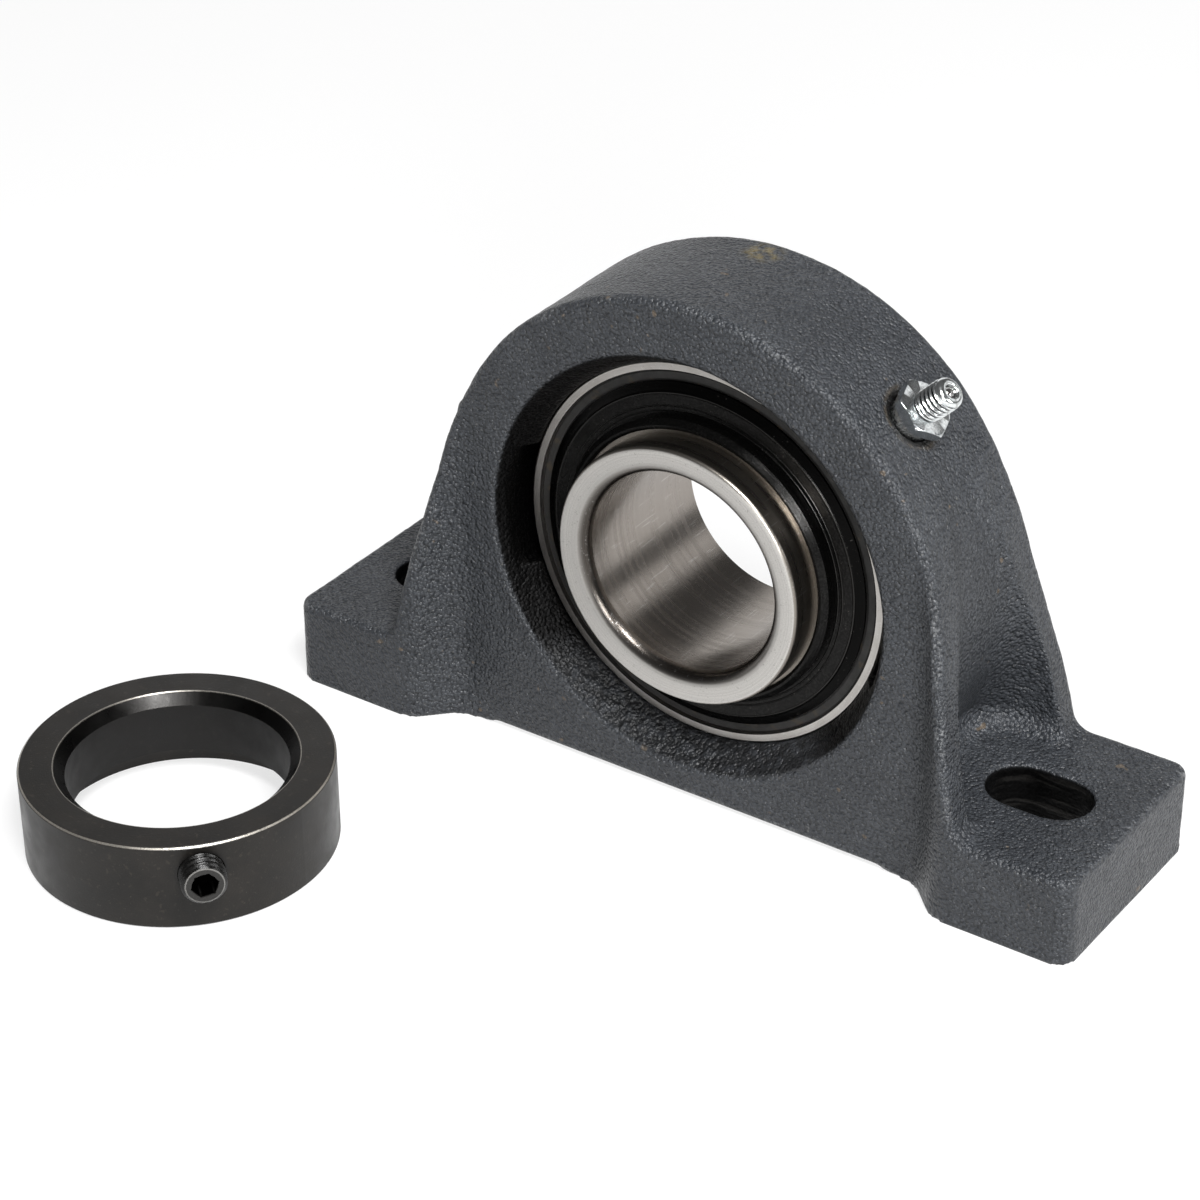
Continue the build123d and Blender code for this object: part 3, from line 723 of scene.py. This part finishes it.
def lathed(name, rows, place, closed):
    """A mesh through rows of (height, radii), closed on itself or by a point at each end."""
    theta = np.arange(AROUND) * 2 * math.pi / AROUND
    points = []
    for height, radii in rows:
        radii = np.broadcast_to(radii, theta.shape)
        ring = np.stack([radii * np.cos(theta), radii * np.sin(theta), np.full(AROUND, height)], 1)
        points.extend(place @ Vector(p * MM) for p in ring)
    faces = []
    count = len(rows)
    for row in range(count if closed else count - 1):
        this, upper = row * AROUND, (row + 1) % count * AROUND
        for step in range(AROUND):
            after = (step + 1) % AROUND
            faces.append((this + step, this + after, upper + after, upper + step))
    if not closed:
        for row, turned_over in ((0, True), (count - 1, False)):
            points.append(place @ Vector((0, 0, rows[row][0] * MM)))
            tip = len(points) - 1
            for step in range(AROUND):
                pair = (row * AROUND + step, row * AROUND + (step + 1) % AROUND)
                faces.append((pair[1], pair[0], tip) if turned_over else (pair[0], pair[1], tip))
    mesh = bpy.data.meshes.new(name)
    mesh.from_pydata(points, [], faces)
    shell = bmesh.new()
    shell.from_mesh(mesh)
    if shell.calc_volume(signed=True) < 0:
        bmesh.ops.reverse_faces(shell, faces=shell.faces)
    shell.to_mesh(mesh)
    shell.free()
    mesh.polygons.foreach_set("use_smooth", np.ones(len(mesh.polygons), bool))
    mesh.set_sharp_from_angle(angle=SHARP_ANGLE)
    mesh.update()
    return link(bpy.data.objects.new(name, mesh))


def grease_fitting(finish):
    """The fitting's body with its hexagon, its threaded neck and the ball's recess."""
    theta = np.arange(AROUND) * 2 * math.pi / AROUND
    head = hexagon(theta, HEAD_HALF_FLAT, HEAD_CORNER_TURN)

    def bevelled(start, grow, share):
        return np.minimum(head, start + grow * math.sin(share * math.pi / 2))

    rows = [(SHANK_END, 4.4), (-7.4, SHANK_RADIUS), (HEAD_LOW - 0.5, SHANK_RADIUS), (HEAD_LOW, 4.7)]
    for share in np.linspace(0, 1, 8):
        rows.append((HEAD_LOW + HEAD_BEVEL * share, bevelled(5.72, 0.7, share)))
    for share in np.linspace(1, 0, 8):
        rows.append((HEAD_TOP - HEAD_BEVEL * share, bevelled(5.62, 0.8, share)))
    rows += [(HEAD_TOP, 3.1), (4.6, 2.85), (NECK_THREAD_FROM, 2.8)]
    for height in np.arange(NECK_THREAD_FROM + 0.05, NECK_THREAD_TO - 0.05, 0.05):
        fade = min(1, (height - NECK_THREAD_FROM) / 0.5, (NECK_THREAD_TO - height) / 0.3)
        ridge = thread(theta, height, NECK_PITCH, NECK_CREST, NECK_ROOT)
        rows.append((height, NECK_BLANK + (ridge - NECK_BLANK) * fade))
    for angle in np.linspace(0, 0.46 * math.pi, 12):
        out = TIP_RADIUS + NOSE_ROUND * math.cos(angle)
        rows.append((NECK_THREAD_TO + NOSE_ROUND * math.sin(angle), out))
    rows += [(TIP_HEIGHT, TIP_RADIUS), (TIP_HEIGHT, 1.72), (11.94, 1.58), (11.8, 1.46), (11.1, 1.41)]
    for height in np.linspace(11.0, 10.14, 6):
        rows.append((height, math.sqrt(FEED_RADIUS**2 - (height - BALL_HEIGHT) ** 2)))
    rows += [(0.0, FEED_RADIUS), (-0.2, FEED_RADIUS), (-0.2, FEED_DRILLING), (SHANK_END, FEED_DRILLING)]
    obj = lathed("fitting_body", rows, FITTING_FRAME, True)
    wear(obj, finish)
    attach(obj, "base")
    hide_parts("grease_fitting_body")


def threaded_screw(finish):
    """The set screw with its thread, its hexagon socket and its cup point."""
    theta = np.arange(AROUND) * 2 * math.pi / AROUND
    socket = hexagon(theta, SOCKET_HALF_FLAT, SOCKET_CORNER_TURN)
    rows = [(-4.9, 0.3), (-4.2, socket * 0.97), (-4.0, socket), (-0.3, socket)]
    rows += [(0.0, np.maximum(socket + 0.04, 2.66)), (0.0, 3.72), (-0.03, 3.86)]
    for height in np.arange(-0.08, -9.0, -0.085):
        ridge = thread(theta, height, SCREW_PITCH, SCREW_CREST, SCREW_ROOT)
        bevel = 3.92 - height if height > -1 else 4.2 + (height + 9.3)
        rows.append((height, np.minimum(ridge, max(bevel, 3.9))))
    rows += [(-9.2, 3.8), (-SCREW_LENGTH, 3.4), (-SCREW_LENGTH, 2.25), (-8.6, 0.3)]
    obj = lathed("set_screw_body", rows, SCREW_FRAME, False)
    wear(obj, finish)
    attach(obj, "screw")
    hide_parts("set_screw")


def dress_nodes():
    """Puts its finish on each of the CAD model's nodes; those not named here are balls."""
    iron = painted_iron()
    ground = ground_steel()
    oxide = black_oxide()
    pressed = black_pressed_steel()
    seal = rubber()
    plated = zinc()
    cage = pressed_cage()
    ball = polished_ball()
    screw = black_screw()
    finishes = {
        "housing": iron,
        "outer_ring": ground,
        "inner_ring": ground,
        "cage_front": cage,
        "cage_rear": cage,
        "cage_rivets": cage,
        "front_seal": seal,
        "rear_seal": seal,
        "front_flinger": pressed,
        "rear_flinger": pressed,
        "grease_fitting_body": plated,
        "grease_fitting_spring": cage,
        "locking_collar": oxide,
        "set_screw": screw,
    }
    for name, obj in nodes.items():
        wear(obj, finishes.get(name, ball))
    return finishes


def area_light(name, place, size, power):
    data = bpy.data.lights.new(name, "AREA")
    data.shape = "RECTANGLE"
    data.size, data.size_y = size
    data.energy = power
    lamp = link(bpy.data.objects.new(name, data))
    lamp.location = place
    lamp.rotation_euler = (Vector(LAMP_AIM) - Vector(place)).to_track_quat("-Z", "Y").to_euler()


def seen_directly(g, ray):
    """One for the camera's own rays and for reflections, which show the pale surround too."""
    clear = g.math("MAXIMUM", ray["Is Glossy Ray"], ray["Is Transmission Ray"])
    return g.math("MAXIMUM", ray["Is Camera Ray"], clear)


def surround():
    """White to the camera, dimmer overhead in reflections, and a weak light on the object."""
    world = bpy.data.worlds.new("surround")
    bpy.context.scene.world = world
    g = Graph(world)
    ray = g.node("ShaderNodeLightPath").outputs
    direction = g.node("ShaderNodeTexCoord").outputs["Generated"]
    overhead = g.ramp(g.split(direction)["Z"], 0.02, 0.5, HORIZON, OVERHEAD)
    brightness = g.math("MAXIMUM", ray["Is Camera Ray"], overhead)
    white = (1, 1, 1, 1)
    soft = g.node("ShaderNodeBackground", {"Color": white, "Strength": AMBIENT})
    clear = g.node("ShaderNodeBackground", {"Color": white, "Strength": brightness})
    seen = seen_directly(g, ray)
    blend = g.node("ShaderNodeMixShader", {0: seen, 1: soft.outputs[0], 2: clear.outputs[0]})
    g.show(blend.outputs[0], "ShaderNodeOutputWorld")


def floor():
    """A pale floor that keeps the object's shadow."""
    mesh = bpy.data.meshes.new("floor")
    corners = [(x * FLOOR_REACH, y * FLOOR_REACH, 0) for x, y in ((-1, -1), (1, -1), (1, 1), (-1, 1))]
    mesh.from_pydata(corners, [], [(0, 1, 2, 3)])
    obj = link(bpy.data.objects.new("floor", mesh))
    obj.location.z = -FLOOR_DROP
    g = material("floor")
    ray = g.node("ShaderNodeLightPath").outputs
    diffuse = g.node("ShaderNodeBsdfDiffuse", {"Color": (FLOOR_COLOR, FLOOR_COLOR, FLOOR_COLOR, 1)})
    strength = g.times(seen_directly(g, ray), FLOOR_GLOW)
    glow = g.node("ShaderNodeEmission", {"Color": (1, 1, 1, 1), "Strength": strength})
    both = g.node("ShaderNodeAddShader", {0: diffuse.outputs[0], 1: glow.outputs[0]})
    mesh.materials.append(g.show(both.outputs[0]))


def camera():
    azimuth, elevation, roll = CAMERA_AZIMUTH, CAMERA_ELEVATION, CAMERA_ROLL
    back = Vector((
        math.sin(azimuth) * math.cos(elevation),
        -math.cos(azimuth) * math.cos(elevation),
        math.sin(elevation),
    ))
    right = Vector((math.cos(azimuth), math.sin(azimuth), 0))
    up = back.cross(right)
    rolled_right = right * math.cos(roll) + up * math.sin(roll)
    rolled_up = up * math.cos(roll) - right * math.sin(roll)
    target = SHAFT + rolled_right * AIM_RIGHT + rolled_up * AIM_UP
    data = bpy.data.cameras.new("camera")
    data.lens = CAMERA_LENS
    data.sensor_width = CAMERA_SENSOR
    data.clip_start = CAMERA_NEAR
    data.clip_end = CAMERA_FAR
    cam = link(bpy.data.objects.new("camera", data))
    turn = Matrix((rolled_right, rolled_up, back)).transposed().to_4x4()
    cam.matrix_world = Matrix.Translation(target + back * CAMERA_DISTANCE) @ turn
    bpy.context.scene.camera = cam


bpy.context.scene.view_settings.view_transform = "Standard"
surround()
floor()
for lamp in LAMPS:
    area_light(*lamp)
camera()
finishes = dress_nodes()
cast_housing(finishes["housing"])
grease_fitting(finishes["grease_fitting_body"])
threaded_screw(finishes["set_screw"])
